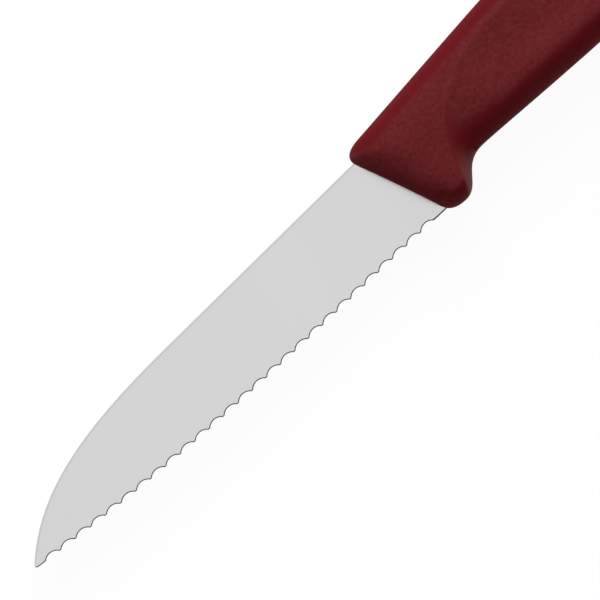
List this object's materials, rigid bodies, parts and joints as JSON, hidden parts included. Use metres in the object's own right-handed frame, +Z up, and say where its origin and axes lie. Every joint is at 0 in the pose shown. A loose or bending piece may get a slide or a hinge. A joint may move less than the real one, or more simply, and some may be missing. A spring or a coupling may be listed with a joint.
{
  "type": "serrated paring knife",
  "caption": "Small kitchen knife with a scalloped cutting edge, a short taper-ground steel blade and a moulded plastic handle with a finger guard and sunk grip panels.",
  "frame": {"origin": "under the middle of the bounding box, on the surface that the knife lies on", "axes": "the knife lies on its right side: +X to the point of the blade, +Y to the cutting edge, +Z up, out of the left side"},
  "size_m": [0.1846, 0.0208, 0.012],
  "materials": {
    "steel": "fine satin, cold-rolled stainless steel",
    "red_plastic": "fine moulded grain, dark red polypropylene"
  },
  "bodies": {
    "root": {"blade": "steel", "handle": "red_plastic"}
  },
  "joints": []
}
